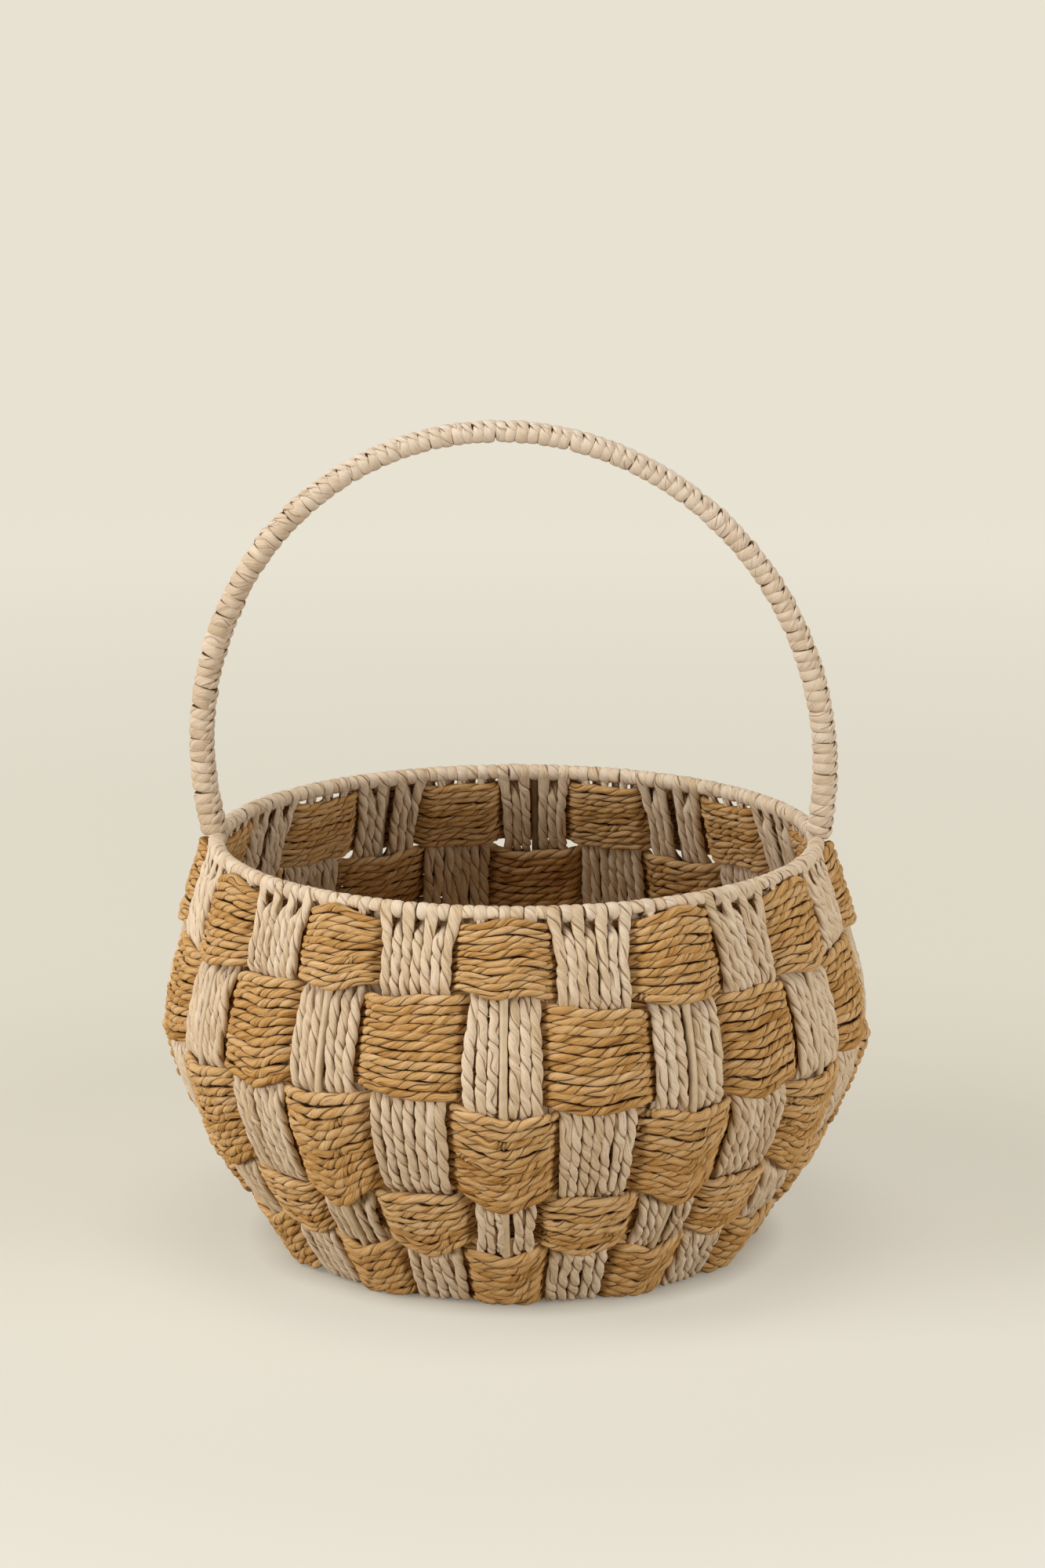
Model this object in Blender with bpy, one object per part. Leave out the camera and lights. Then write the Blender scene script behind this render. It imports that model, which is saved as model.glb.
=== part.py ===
"""Treat basket: bands of paper cord woven on a painted wire cage, under one fixed arched handle.

Lengths are in metres and +Z is up. The origin is the middle of the flat underside, and -Y is the
front. Angles run from the front towards +X.
"""

import math

import bmesh
import bpy

# Overall form
RIM_RADIUS = 0.1073
RIM_HEIGHT = 0.1464
BELLY_RADIUS = 0.1226
HANDLE_CENTRE_RISE = 0.0305
HANDLE_ROUND = 0.1170

# Wire cage
HOOP_WIRE = 0.0034
RIB_WIRE = 0.0032
HANDLE_WIRE = 0.0044
BASE_HOOP_HEIGHT = 0.0042

# Cord bands and wrappings
BAND_THICKNESS = 0.0030
TOP_LOOP_HEIGHT = 0.0030
RIM_WRAP_DIAMETER = 0.0060
HANDLE_WRAP_DIAMETER = 0.0088
HANDLE_WRAP_GROOVE = 0.0005
HANDLE_WRAP_PITCH = 0.0035

# Clearances
SEAT_GAP = 0.0003
LAP_GAP = 0.0006
ROW_GAP = 0.0024
SLOT_GAP = 0.0004
FLOOR_GAP = 0.0004
CUT_OVERRUN = 0.0040
MERGE_DISTANCE = 0.000001

# Counts
WIRE_COLUMNS = 12
BASE_BANDS = 6
HOOP_STEPS = 36
HANDLE_STEPS = 36

# Edges that bend by more than this stay sharp when the surface is shaded
SHARP_ANGLE = math.radians(50)

# The middle of the wall, from the floor to the rim hoop: heights as shares of the rim's height,
# and radii as shares of the belly's. Each place between the ends is where two rows meet.
wall_height_shares = (0.0, 0.159, 0.316, 0.557, 0.796, 1.0)
wall_radius_shares = (0.657, 0.780, 0.897, 1.0, 0.949)

# Rows that are tall enough to bend at mid height, counted from the floor
TALL_ROWS = (2, 3)

# How far the handle leans towards -X, as a share of the height above the rim
handle_lean_share = 0.037

# Half widths as shares of the pitch: an upright column, and the flat of a band that crosses it
column_half_share = 0.42
shoulder_half_share = 0.43

# The lift of a band's crown over a plain column, as a share of its lift at the shoulders
crown_share = 1.25
# How the room for one lap is shared between the upright columns and the bands round them
column_lap_share = 0.40
# How far a rib is above the base hoop halfway along its foot, as a share of its bend's height
rib_foot_share = 0.25
# A step of the rim that is nearer than this to the end of an arc is left out, as a share of a step
step_skip_share = 0.25

COLUMNS = 2 * WIRE_COLUMNS
COLUMN_ANGLE = 2 * math.pi / COLUMNS
ROWS = len(wall_height_shares) - 1
LAP = BAND_THICKNESS + LAP_GAP
COLUMN_LIFT = column_lap_share * LAP
BAND_LIFT = LAP - COLUMN_LIFT
PLAIN_CROWN = crown_share * BAND_LIFT
WIRE_CROWN = RIB_WIRE / 2 + SLOT_GAP + BAND_THICKNESS / 2
RIM_WRAP_RADIUS = RIM_WRAP_DIAMETER / 2

wall_heights = [share * RIM_HEIGHT for share in wall_height_shares]
wall_radii = [share * BELLY_RADIUS for share in wall_radius_shares] + [RIM_RADIUS]


def wall_slopes():
    """The wall's lean at each of its named heights, as radius gained for each length of height."""
    inner = [
        (wall_radii[i + 1] - wall_radii[i - 1]) / (wall_heights[i + 1] - wall_heights[i - 1])
        for i in range(1, ROWS)
    ]
    first = (wall_radii[1] - wall_radii[0]) / (wall_heights[1] - wall_heights[0])
    last = (wall_radii[-1] - wall_radii[-2]) / (wall_heights[-1] - wall_heights[-2])
    return [first] + inner + [last]


def wall_at(height):
    """Radius and lean of the wall's middle at a height, on one smooth curve."""
    slopes = wall_slopes()
    row = max(i for i in range(ROWS) if i == 0 or height >= wall_heights[i])
    span = wall_heights[row + 1] - wall_heights[row]
    t = (height - wall_heights[row]) / span
    low, high = wall_radii[row], wall_radii[row + 1]
    leave, arrive = slopes[row] * span, slopes[row + 1] * span
    a = 2 * low - 2 * high + leave + arrive
    b = 3 * high - 3 * low - 2 * leave - arrive
    radius = a * t**3 + b * t**2 + leave * t + low
    lean = (3 * a * t**2 + 2 * b * t + leave) / span
    return radius, lean


def around(radius, angle, height):
    """A point at an angle from the front."""
    return radius * math.sin(angle), -radius * math.cos(angle), height


def wall_point(height, angle, offset):
    """A point outward from the wall's middle, square to the wall."""
    radius, lean = wall_at(height)
    length = math.hypot(1, lean)
    return around(radius + offset / length, angle, height - offset * lean / length)


def floor_point(angle, offset):
    """A point of the wall's lowest edge, trimmed level with the floor."""
    radius, lean = wall_at(0)
    return around(radius + offset * math.hypot(1, lean), angle, 0)


def row_heights(row):
    """Heights that the row's bands and the columns behind them bend at, top to bottom."""
    if row == ROWS - 1:
        top = RIM_HEIGHT - RIM_WRAP_RADIUS - ROW_GAP / 2
    else:
        top = wall_heights[row + 1] - ROW_GAP / 2
    bottom = wall_heights[row] + ROW_GAP / 2 if row else 0
    if row in TALL_ROWS:
        return [top, (top + bottom) / 2, bottom]
    return [top, bottom]


def band_outside(column, row):
    """True where the band of this row passes outside this column. Even columns hold a wire."""
    return (column + row) % 2 == 0


def material(name, colour, roughness, metallic=0.0):
    made = bpy.data.materials.new(name)
    made.use_nodes = True
    shader = made.node_tree.nodes["Principled BSDF"]
    shader.inputs["Base Color"].default_value = (*colour, 1)
    shader.inputs["Roughness"].default_value = roughness
    shader.inputs["Metallic"].default_value = metallic
    return made


def add(name, data, group, finish):
    """An object in a collection, shaded smooth except at its sharp corners."""
    thing = bpy.data.objects.new(name, data)
    group.objects.link(thing)
    if finish:
        data.materials.clear()
        data.materials.append(finish)
    if thing.type == "MESH":
        data.shade_smooth()
        data.set_sharp_from_angle(angle=SHARP_ANGLE)
    return thing


def loft(name, rings, closed):
    """A mesh through rings of equally many points, either joined end to start or capped."""
    shape = bmesh.new()
    rows = [[shape.verts.new(point) for point in ring] for ring in rings]
    count = len(rows[0])
    pairs = list(zip(rows, rows[1:] + rows[:1])) if closed else list(zip(rows, rows[1:]))
    for here, there in pairs:
        for i in range(count):
            j = (i + 1) % count
            shape.faces.new((here[i], here[j], there[j], there[i]))
    if not closed:
        shape.faces.new(rows[0])
        shape.faces.new(rows[-1])
    bmesh.ops.recalc_face_normals(shape, faces=shape.faces)
    mesh = bpy.data.meshes.new(name)
    shape.to_mesh(mesh)
    shape.free()
    return mesh


def tube(name, points, diameter, resolution=2, closed=False, radii=None):
    """A round tube through points, as curve data with filled ends."""
    curve = bpy.data.curves.new(name, "CURVE")
    curve.dimensions = "3D"
    curve.bevel_depth = diameter / 2
    curve.bevel_resolution = resolution
    curve.use_fill_caps = True
    spline = curve.splines.new("POLY")
    spline.points.add(len(points) - 1)
    for i, point in enumerate(points):
        spline.points[i].co = (*point, 1)
        spline.points[i].radius = radii[i] if radii else 1
    spline.use_cyclic_u = closed
    return curve


def tube_mesh(name, points, diameter, resolution=2, closed=False, radii=None):
    """The same tube as a closed mesh, for cuts."""
    curve = tube(name, points, diameter, resolution, closed, radii)
    holder = bpy.data.objects.new(name, curve)
    bpy.context.scene.collection.objects.link(holder)
    graph = bpy.context.evaluated_depsgraph_get()
    mesh = bpy.data.meshes.new_from_object(holder.evaluated_get(graph))
    bpy.data.objects.remove(holder)
    bpy.data.curves.remove(curve)
    shape = bmesh.new()
    shape.from_mesh(mesh)
    bmesh.ops.remove_doubles(shape, verts=shape.verts, dist=MERGE_DISTANCE)
    bmesh.ops.recalc_face_normals(shape, faces=shape.faces)
    shape.to_mesh(mesh)
    shape.free()
    return mesh


def cutter(name, mesh, group):
    thing = bpy.data.objects.new(name, mesh)
    group.objects.link(thing)
    thing.hide_render = True
    thing.display_type = "WIRE"
    return thing


def boolean(thing, other, operation="DIFFERENCE"):
    step = thing.modifiers.new(other.name, "BOOLEAN")
    step.operation = operation
    step.object = other


def baked(thing, name):
    """The mesh of an object with its modifiers applied. The object is removed."""
    graph = bpy.context.evaluated_depsgraph_get()
    mesh = bpy.data.meshes.new_from_object(thing.evaluated_get(graph))
    mesh.name = name
    bpy.data.objects.remove(thing)
    return mesh


def band_mesh(row):
    """One ring of cord that passes outside and inside the columns by turns."""
    heights = row_heights(row)
    rings = []
    for column in range(COLUMNS):
        side = 1 if band_outside(column, row) else -1
        crown = PLAIN_CROWN if column % 2 else WIRE_CROWN
        for share, lift in (
            (-shoulder_half_share, BAND_LIFT),
            (0, crown),
            (shoulder_half_share, BAND_LIFT),
        ):
            angle = (column + share) * COLUMN_ANGLE
            outer = side * lift + BAND_THICKNESS / 2
            inner = side * lift - BAND_THICKNESS / 2
            rings.append(band_section(heights, angle, outer, inner))
    return loft(f"weft_{ROWS - row}", rings, closed=True)


def band_section(heights, angle, outer, inner):
    """The band's section at an angle: down its outer face and back up its inner face."""
    down = [edge_point(height, angle, outer) for height in heights]
    up = [edge_point(height, angle, inner) for height in reversed(heights)]
    return down + up


def edge_point(height, angle, offset):
    return wall_point(height, angle, offset) if height else floor_point(angle, offset)


def column_top():
    """Both kinds of column end just under the rim's wrapping."""
    return RIM_HEIGHT - RIM_WRAP_RADIUS - SEAT_GAP


def column_path(column):
    """Heights and offsets of an upright column of cords, from under the rim to the floor.

    A column with a wire loops behind it at the top, where its two halves meet.
    """
    path = []
    for row in reversed(range(ROWS)):
        side = -1 if band_outside(column, row) else 1
        path += [[height, side * COLUMN_LIFT] for height in row_heights(row)]
    if column % 2 == 0:
        path[0] = [column_top() - TOP_LOOP_HEIGHT, -WIRE_CROWN]
    path.insert(0, [column_top(), path[0][1]])
    offset = path[-1][1]
    lean = wall_at(0)[1]
    low = max(offset + BAND_THICKNESS / 2, 0) * lean / math.hypot(1, lean)
    path[-1][0] = FLOOR_GAP + low
    return path


def column_mesh(column, name):
    half = column_half_share * COLUMN_ANGLE
    rings = []
    for height, offset in column_path(column):
        outer = offset + BAND_THICKNESS / 2
        inner = offset - BAND_THICKNESS / 2
        across = [wall_point(height, angle, outer) for angle in (-half, 0, half)]
        back = [wall_point(height, angle, inner) for angle in (half, 0, -half)]
        rings.append(across + back)
    return loft(name, rings, closed=False)


def slot_mesh(name):
    """A cutter that makes room for the rib, from the column's top loop down through its foot."""
    half = RIB_WIRE / 2 + SLOT_GAP
    reach = COLUMN_LIFT + BAND_THICKNESS / 2 + CUT_OVERRUN
    heights = [column_top() - TOP_LOOP_HEIGHT]
    heights += row_heights(ROWS - 1)[1:]
    for row in reversed(range(1, ROWS - 1)):
        heights += row_heights(row)
    heights += [row_heights(0)[0], -CUT_OVERRUN]
    rings = []
    for height in heights:
        radius = wall_at(max(height, 0))[0]
        corners = ((-half, reach), (half, reach), (half, -reach), (-half, -reach))
        rings.append([(x, -radius - out, height) for x, out in corners])
    return loft(name, rings, closed=False)


def rim_lean():
    """Radius lost for each length of height where the wall meets the rim hoop."""
    return -wall_at(RIM_HEIGHT)[1]


def rim_approach(distance):
    """A point of the front rib's line, at a distance below the rim hoop's centre."""
    lean = rim_lean()
    length = math.hypot(1, lean)
    return 0, -RIM_RADIUS - distance * lean / length, RIM_HEIGHT - distance / length


def base_hoop_radius():
    """The hoop lies against the inside of the lowest band."""
    radius, lean = wall_at(BASE_HOOP_HEIGHT)
    cover = (PLAIN_CROWN + BAND_THICKNESS / 2) * math.hypot(1, lean)
    return radius - cover - SEAT_GAP - HOOP_WIRE / 2


def rib_points():
    """The front rib, from the rim hoop down the wall and in to the base hoop."""
    points = [rim_approach(HOOP_WIRE / 2 + SEAT_GAP)]
    for row in reversed(range(1, ROWS)):
        points += [wall_point(height, 0, 0) for height in row_heights(row)]
    points.append(wall_point(row_heights(0)[0], 0, 0))
    bend = BASE_HOOP_HEIGHT + RIB_WIRE
    start = wall_at(bend)[0]
    end = base_hoop_radius() + HOOP_WIRE / 2 + SEAT_GAP
    points.append(around(start, 0, bend))
    points.append(around((start + end) / 2, 0, BASE_HOOP_HEIGHT + rib_foot_share * RIB_WIRE))
    points.append(around(end, 0, BASE_HOOP_HEIGHT))
    return points


def ring_points(radius, height):
    step = 2 * math.pi / HOOP_STEPS
    return [around(radius, i * step, height) for i in range(HOOP_STEPS)]


def handle_widest():
    """Half width of the handle's oval, which passes through the rim hoop at each side."""
    return RIM_RADIUS / math.sqrt(1 - (HANDLE_CENTRE_RISE / HANDLE_ROUND) ** 2)


def handle_end_turn(side, distance):
    """Turn from the top of the oval to a place that is a distance along it short of the hoop."""
    full = math.acos(-HANDLE_CENTRE_RISE / HANDLE_ROUND)
    drop = HANDLE_ROUND * math.sin(full)
    across = handle_widest() * math.cos(full) + side * handle_lean_share * drop
    return side * (full - distance / math.hypot(across, drop))


def handle_point(turn):
    rise = HANDLE_CENTRE_RISE + HANDLE_ROUND * math.cos(turn)
    return handle_widest() * math.sin(turn) - handle_lean_share * rise, 0, RIM_HEIGHT + rise


def handle_points(steps, distance):
    """Points of the handle's middle line, from the left foot to the right one."""
    start, end = handle_end_turn(-1, distance), handle_end_turn(1, distance)
    return [handle_point(start + (end - start) * i / steps) for i in range(steps + 1)]


def handle_length(distance):
    points = handle_points(HANDLE_STEPS, distance)
    return sum(math.dist(a, b) for a, b in zip(points, points[1:]))


def wrap_rings():
    """Turns of cord that fit along the handle, and the tube's radius at crest and groove."""
    seat = RIM_WRAP_RADIUS + SEAT_GAP
    turns = round(handle_length(seat) / HANDLE_WRAP_PITCH)
    points = handle_points(2 * turns, seat)
    groove = 1 - HANDLE_WRAP_GROOVE / (HANDLE_WRAP_DIAMETER / 2)
    radii = [groove if i % 2 == 0 else 1 for i in range(len(points))]
    return points, radii


def arc_points(start, end):
    """Points of the rim from one angle to another, on the same steps as the rim hoop's."""
    step = 2 * math.pi / HOOP_STEPS
    skip = step_skip_share * step
    steps = [i * step for i in range(-HOOP_STEPS, 2 * HOOP_STEPS)]
    angles = [start, *(angle for angle in steps if start + skip < angle < end - skip), end]
    return [around(RIM_RADIUS, angle, RIM_HEIGHT) for angle in angles]


def build_rim_wrap(name, middle, group, finish, cutters):
    """Half of the cord sleeve round the rim hoop, between the two feet of the handle."""
    seam = SEAT_GAP / RIM_RADIUS
    points = arc_points(middle - math.pi / 2 + seam, middle + math.pi / 2 - seam)
    wrap = add(name, tube_mesh(name, points, RIM_WRAP_DIAMETER), group, finish)
    for each in cutters:
        boolean(wrap, each)
    return wrap


def rim_cutters(group):
    """The hoop's bore, a hole for each rib and one for each end of the handle rod."""
    bore = tube_mesh(
        "cut_rim_bore",
        ring_points(RIM_RADIUS, RIM_HEIGHT),
        HOOP_WIRE + 2 * SEAT_GAP,
        closed=True,
    )
    made = [cutter("cut_rim_bore", bore, group)]
    reach = RIM_WRAP_RADIUS + CUT_OVERRUN
    for i in range(WIRE_COLUMNS):
        name = f"cut_rib_hole_{i + 1:02d}"
        line = [rim_approach(0), rim_approach(reach)]
        hole = cutter(name, tube_mesh(name, line, RIB_WIRE + 2 * SEAT_GAP), group)
        hole.rotation_euler.z = 2 * i * COLUMN_ANGLE
        made.append(hole)
    for side in (-1, 1):
        name = "cut_rod_hole_right" if side > 0 else "cut_rod_hole_left"
        line = [handle_point(handle_end_turn(side, 0)), handle_point(handle_end_turn(side, reach))]
        hole = cutter(name, tube_mesh(name, line, HANDLE_WIRE + 2 * SEAT_GAP), group)
        made.append(hole)
    return made


def base_radius():
    """The woven base fills the base hoop."""
    return base_hoop_radius() - HOOP_WIRE / 2 - SEAT_GAP


def base_band_mesh(name, index, lengthwise):
    """A straight band of the base, over and under those that cross it."""
    pitch = 2 * base_radius() / BASE_BANDS
    place = (index - (BASE_BANDS - 1) / 2) * pitch
    half = column_half_share * pitch
    lift = LAP / 2
    stations = []
    for cell in range(BASE_BANDS):
        middle = (cell - (BASE_BANDS - 1) / 2) * pitch
        side = 1 if (cell + index + lengthwise) % 2 else -1
        for share in (-shoulder_half_share, shoulder_half_share):
            stations.append((middle + share * pitch, side * lift))
    stations.insert(0, (stations[0][0] - CUT_OVERRUN, stations[0][1]))
    stations.append((stations[-1][0] + CUT_OVERRUN, stations[-1][1]))
    rings = []
    for along, rise in stations:
        low = BASE_HOOP_HEIGHT + rise - BAND_THICKNESS / 2
        high = BASE_HOOP_HEIGHT + rise + BAND_THICKNESS / 2
        corners = ((-half, low), (half, low), (half, high), (-half, high))
        if lengthwise:
            rings.append([(along, place + side, z) for side, z in corners])
        else:
            rings.append([(place + side, along, z) for side, z in corners])
    return loft(name, rings, closed=False)


def base_cutter(group):
    """The round outline that the base bands are trimmed to."""
    shape = bmesh.new()
    bmesh.ops.create_cone(
        shape,
        cap_ends=True,
        segments=HOOP_STEPS,
        radius1=base_radius(),
        radius2=base_radius(),
        depth=2 * (LAP + BAND_THICKNESS),
    )
    bmesh.ops.translate(shape, verts=shape.verts, vec=(0, 0, BASE_HOOP_HEIGHT))
    mesh = bpy.data.meshes.new("cut_base_outline")
    shape.to_mesh(mesh)
    shape.free()
    return cutter("cut_base_outline", mesh, group)


def build_cage(group, finish):
    hoops = (
        ("rim_hoop", RIM_RADIUS, RIM_HEIGHT),
        ("base_hoop", base_hoop_radius(), BASE_HOOP_HEIGHT),
    )
    for name, radius, height in hoops:
        add(name, tube(name, ring_points(radius, height), HOOP_WIRE, 1, closed=True), group, finish)
    rib = tube("rib", rib_points(), RIB_WIRE, 1)
    for i in range(WIRE_COLUMNS):
        add(f"rib_{i + 1:02d}", rib, group, finish).rotation_euler.z = 2 * i * COLUMN_ANGLE
    points = handle_points(HANDLE_STEPS, HOOP_WIRE / 2 + SEAT_GAP)
    add("handle_rod", tube("handle_rod", points, HANDLE_WIRE), group, finish)


def build_wrappings(group, cutters, rim_finish, handle_finish):
    rim_cuts = rim_cutters(cutters)
    build_rim_wrap("rim_wrap_front", 0, group, rim_finish, rim_cuts)
    build_rim_wrap("rim_wrap_back", math.pi, group, rim_finish, rim_cuts)
    points, radii = wrap_rings()
    wrap = tube_mesh("handle_wrap", points, HANDLE_WRAP_DIAMETER, radii=radii)
    bore = tube_mesh(
        "cut_handle_bore", handle_points(HANDLE_STEPS, 0), HANDLE_WIRE + 2 * SEAT_GAP
    )
    boolean(
        add("handle_wrap", wrap, group, handle_finish),
        cutter("cut_handle_bore", bore, cutters),
    )


def build_columns(group, cutters, finish):
    plain = column_mesh(1, "plain_column")
    slotted = add("slotted_column", column_mesh(0, "slotted_column"), group, finish)
    boolean(slotted, cutter("cut_rib_slot", slot_mesh("cut_rib_slot"), cutters))
    slotted = baked(slotted, "slotted_column")
    for column in range(COLUMNS):
        name = f"warp_{column + 1:02d}"
        warp = add(name, plain if column % 2 else slotted, group, finish)
        warp.rotation_euler.z = column * COLUMN_ANGLE


def build_base(group, cutters, finish):
    outline = base_cutter(cutters)
    for lengthwise in (False, True):
        for index in range(BASE_BANDS):
            name = f"base_band_{index + 1 + BASE_BANDS * lengthwise:02d}"
            band = add(name, base_band_mesh(name, index, lengthwise), group, finish)
            boolean(band, outline, "INTERSECT")


def main():
    for thing in list(bpy.data.objects):
        bpy.data.objects.remove(thing)
    basket = bpy.data.collections.new("treat_basket")
    cutters = bpy.data.collections.new("cutters")
    bpy.context.scene.collection.children.link(basket)
    bpy.context.scene.collection.children.link(cutters)
    wire = material("painted_wire", (0.56, 0.47, 0.34), 0.45)
    cream = material("cream_paper_cord", (0.66, 0.55, 0.42), 0.75)
    blush = material("wrapping_paper_cord", (0.70, 0.58, 0.44), 0.72)
    tan = material("tan_paper_cord", (0.52, 0.31, 0.12), 0.75)
    build_cage(basket, wire)
    build_wrappings(basket, cutters, cream, blush)
    build_columns(basket, cutters, cream)
    for row in range(ROWS):
        add(f"weft_{ROWS - row}", band_mesh(row), basket, tan)
    build_base(basket, cutters, tan)
    root = bpy.data.objects.new("basket_root", None)
    basket.objects.link(root)
    for thing in [*basket.objects, *cutters.objects]:
        if thing != root:
            thing.parent = root


main()
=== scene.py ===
"""Treat basket: the cords, wires, floor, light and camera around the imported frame.

Lengths are in metres and +Z is up. The origin is the middle of the flat underside, and -Y is the
front. Angles run from the front towards +X. Rows are counted from the floor up, and columns from
the front. A cord's place on the wall is its offset outward from the wall's middle, and its climb,
which is the distance up along the wall from the floor.
"""

import math

import bpy
import numpy as np
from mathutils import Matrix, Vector


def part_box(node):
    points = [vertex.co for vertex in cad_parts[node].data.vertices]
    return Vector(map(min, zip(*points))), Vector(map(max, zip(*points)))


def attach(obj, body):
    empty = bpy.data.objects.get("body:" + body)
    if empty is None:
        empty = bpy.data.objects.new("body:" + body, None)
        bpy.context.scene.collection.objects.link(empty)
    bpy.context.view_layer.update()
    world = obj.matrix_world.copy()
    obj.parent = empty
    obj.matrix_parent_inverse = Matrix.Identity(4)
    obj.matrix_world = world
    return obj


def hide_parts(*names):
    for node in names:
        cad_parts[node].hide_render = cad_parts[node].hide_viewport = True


TURN = 2 * math.pi
UP = np.array((0.0, 0.0, 1.0))
FRONT = np.array((0.0, -1.0, 0.0))

# Counts. The cords of the rows are from the floor up.
COLUMNS = 24
ROW_CORDS = (8, 8, 11, 11, 10)
SLOTS = 7
RIM_WRAPS_PER_COLUMN = 7
BASE_BANDS = 6
BASE_BAND_CORDS = 6
WIRE_SIDES = 16
HOOP_POINTS = 240
HANDLE_SAMPLES = 2000
KNOT_POINTS = 11
FLOOR_POINTS = 96

# Wall, whose curve goes on by the overrun below the floor and above the rim
BELLY_RADIUS = 0.1226
WALL_OVERRUN = 0.0060
CURVE_STEP = 0.0001
SOFTEN_STEP = 2 * CURVE_STEP
PATH_STEP = 5 * CURVE_STEP
# The middle of the wall, as in the part: heights as shares of the rim's, radii of the belly's
wall_height_shares = (0.0, 0.159, 0.316, 0.557, 0.796, 1.0)
wall_radius_shares = (0.657, 0.780, 0.897, 1.0, 0.949)

# Cords: their diameter, their plies' pitches, and how much twist and thickness vary along them
CORD = 0.00335
TAN_PLY_PITCH = 0.0136
CREAM_PLY_PITCH = 0.0150
PLY_WANDER = 0.90
CORD_SWELL = 0.040
SWELL_LENGTH = 0.045
# How far apart cords may start in the paper's noise
FIBRE_SHIFT = 4
FLOOR_CLEAR = 0.00005
# A cord of two twisted plies in section: angles from one ply's crest, and radii as shares
section_angles = np.radians((0, 38, 70, 90, 110, 142, 180, 218, 250, 270, 290, 322))
section_radii = np.array((1.06, 1.00, 0.85, 0.69, 0.85, 0.99, 1.04, 0.99, 0.85, 0.69, 0.85, 1.00))
# How the plies' pitch differs from cord to cord, and the waves of a cord to each swell's length
ply_pitch_range = (0.85, 1.15)
swell_rates = (1, 2, 3.7)
# Height of the middle of a cord that lies on the floor
LOWEST_MIDDLE = CORD / 2 * section_radii.max() + FLOOR_CLEAR

# Wire cage: diameters, how far a rib lies out from the wall's middle, and where it leaves it
HOOP_WIRE = 0.0034
RIB_WIRE = 0.0030
HANDLE_ROD = 0.0044
RIB_OFFSET = 0.0018
RIB_END = 1.5 * CORD

# Tan rows: how far they lie from the wall's middle, with a crown over each column, and how they
# wander from it
WEFT_THICK = 0.0036
WEFT_STEP = 0.0011
WEFT_LIFT = 0.0023
WEFT_FOOT = 0.0024
WIRE_CROWN = 0.0019
PLAIN_CROWN = 0.0005
ROW_SPREAD = 0.0048
TOP_ROW_GAP = 0.0050
INNER_FOOT_RISE = 0.0020
WEFT_TILT = 0.0002
WEFT_WANDER = 0.00013
ROW_WANDER = 0.00026
WEFT_RIPPLE = 0.00015
# Waves of a tan cord, to one turn round the wall
weft_wave_counts = (5, 9, 16, 27, 41)
# How far either side of a crossing a tan cord bends, as a share of the columns' pitch
WEFT_CROSSING = 0.13
# Width of a tan cord as a share of the distance to the next one, which it is pressed against
weft_presses = (1.17, 1.10, 1.17, 1.17, 1.17)
# How far the bottom and the top cord of each row bow where they pass outside, up being positive
row_bottom_bows = (-0.0035, -0.0049, -0.0065, -0.0022, -0.0018)
row_top_bows = (-0.0040, 0.0, -0.0018, -0.0003, 0.0022)
# How far the edges between the rows lie above those of the part, all round and at some columns
row_edge_lifts = (0.0, 0.0045, 0.0030, 0.0, 0.0, 0.0)
row_edge_drifts = {
    0: {17: 0.0010, 18: 0.0024, 19: 0.0032, 20: 0.0032, 21: 0.0016, 5: 0.0008, 6: 0.0016},
    2: {20: 0.0007, 21: -0.0030, 22: -0.0015, 23: 0.0014, 2: -0.0006, 4: 0.0010},
    3: {20: 0.0018, 21: 0.0006, 22: 0.0048, 23: 0.0055, 0: 0.0008, 2: -0.0004, 3: -0.0016},
    4: {19: -0.0008, 20: -0.0009, 21: 0.0022, 22: 0.0016, 23: 0.0044, 0: 0.0038, 1: -0.0003,
        2: -0.0016, 3: -0.0017, 4: -0.0012, 5: 0.0008},
}

# Upright columns: their lift and bulge away from the wall's middle, over the crossing's length,
# and how far a crowded cord is pushed in
WARP_STEP = 0.0010
WARP_DEPTH = 1.10
WARP_LIFT = 0.0013
WARP_BULGE = 0.0006
WARP_CROSSING = 0.0031
WARP_PUSH = 0.0024
WARP_WANDER = 0.00022
WARP_PRESS = 1.13
PATH_SOFTENING = 0.0012
WIRE_SLOT = 3
OVER_SLOTS = (0, 2, 4, 6)
warp_wave_lengths = (0.021, 0.043, 0.090)
# Half the width of an upright column in each row, as a share of the columns' pitch
column_half_shares = (0.41, 0.36, 0.40, 0.405, 0.40)
# Where each column has slid to round the wall, in degrees from its even place
column_drifts = (-0.5, -0.6, 0.4, -0.8, -0.3, -0.6, -0.6, -0.8, -1.0, -1.2, -1.4, -1.9,
                 -2.1, -2.2, -2.2, -1.6, -0.4, -0.2, 0.0, 0.0, -0.2, 0.7, -1.1, -0.6)
# Slots of a column whose cord is crowded inward where the column is narrow, by row
crowded_slots = {0: (1, 5), 1: (5,)}

# A column's cords at the rim. Those that come over it start on its other side, at this turn round
# the hoop in degrees. The others are tucked in under it, at shares of the wrapping's radius.
OVER_TURN = 215
OVER_TURN_STEP = 5
under_offset_shares = (-0.7, -0.9)
under_climb_shares = (0.8, 2.0)
# How far below the rim they reach the wall, as a share of the wrapping's radius
OVER_JOIN = 2.6
UNDER_JOIN = 4.5
# Along a cord from its end at the rim: how far it is flat or tucked in, and where it may wander
FLAT_END = 3.0 * CORD
FLAT_CHANGE = 1.5 * CORD
TUCK_END = 3 * CORD
TUCK_SHRINK = 0.30
WANDER_START = 6 * CORD
WANDER_CHANGE = 3 * CORD
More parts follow.
